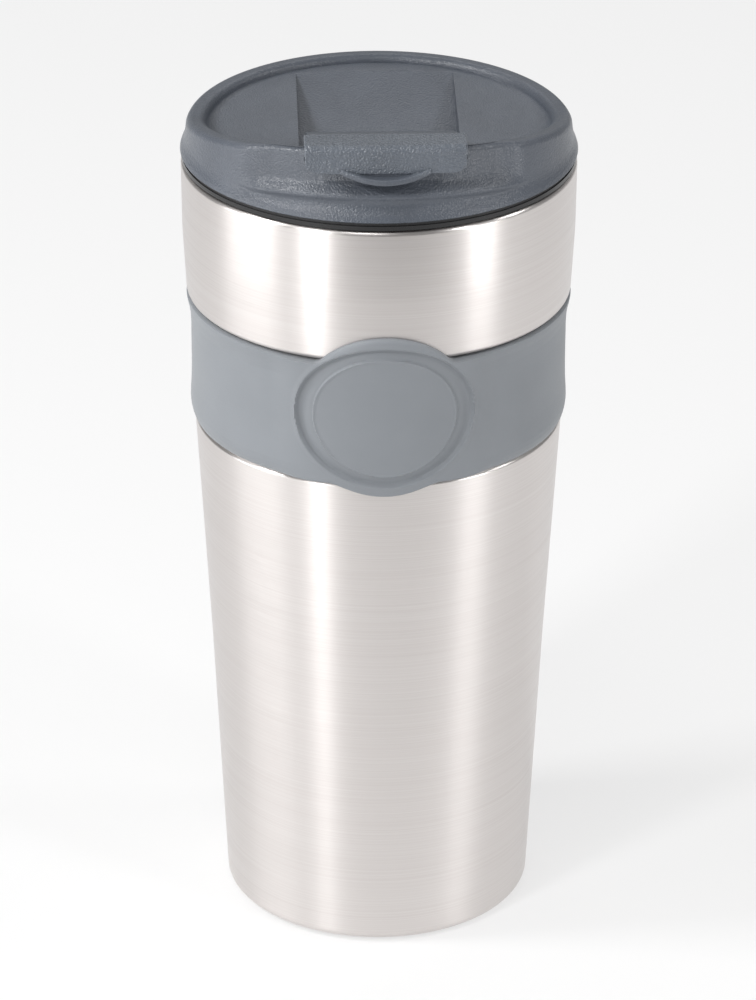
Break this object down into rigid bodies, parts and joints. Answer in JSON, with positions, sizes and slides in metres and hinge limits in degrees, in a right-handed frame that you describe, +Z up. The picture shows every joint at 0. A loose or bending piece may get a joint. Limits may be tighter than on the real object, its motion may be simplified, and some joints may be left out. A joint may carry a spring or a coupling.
{
  "type": "insulated travel mug",
  "caption": "Tapered double-wall travel mug with a silicone grip band, a screw-in lid with a raised spout, and a flip lever that seals the drink hole.",
  "frame": {"origin": "centre of the foot pad's underside, on the surface the mug stands on", "axes": "+Z up along the mug's axis; the spout, the lever's head and the band's medallion face -Y; +X is to the right seen from the drinking side"},
  "size_m": [0.084, 0.0857, 0.192],
  "materials": {
    "shell_steel": "fine horizontal brushing, satin",
    "pin_steel": "drawn rod, satin",
    "black_plastic": "smooth black moulding",
    "lid_plastic": "grey moulding with a fine spark-eroded grain",
    "grip_silicone": "matt silicone",
    "seal_silicone": "soft black silicone",
    "plug_silicone": "soft grey silicone",
    "pad_rubber": "matt non-slip rubber"
  },
  "bodies": {
    "mug": {"outer_shell": "shell_steel", "inner_liner": "black_plastic", "rim_seal": "seal_silicone", "base_cap": "black_plastic", "foot_pad": "pad_rubber", "grip_band": "grip_silicone"},
    "lid_seal": {"lid_gasket": "seal_silicone"},
    "lid": {"lid_body": "lid_plastic", "thread_ring": "lid_plastic", "hinge_pin": "pin_steel"},
    "lever": {"flip_lever": "lid_plastic", "spout_seal": "plug_silicone", "vent_seal": "plug_silicone"}
  },
  "joints": [
    {"name": "lid_lift", "type": "slide", "parent": "mug", "child": "lid_seal", "axis": [0, 0, 1], "range_m": [0, 0.0125]},
    {"name": "lid_turn", "type": "hinge", "parent": "lid_seal", "child": "lid", "pos_m": [0, 0, 0.1752], "axis": [0, 0, 1], "range_deg": [0, 300]},
    {"name": "lever_flip", "type": "hinge", "parent": "lid", "child": "lever", "pos_m": [0, -0.0062, 0.1762], "axis": [-1, 0, 0], "range_deg": [0, 142]}
  ],
  "couplings": [
    {"joint": "lid_lift", "follows": "lid_turn", "m_per_rad": 0.0023873}
  ]
}
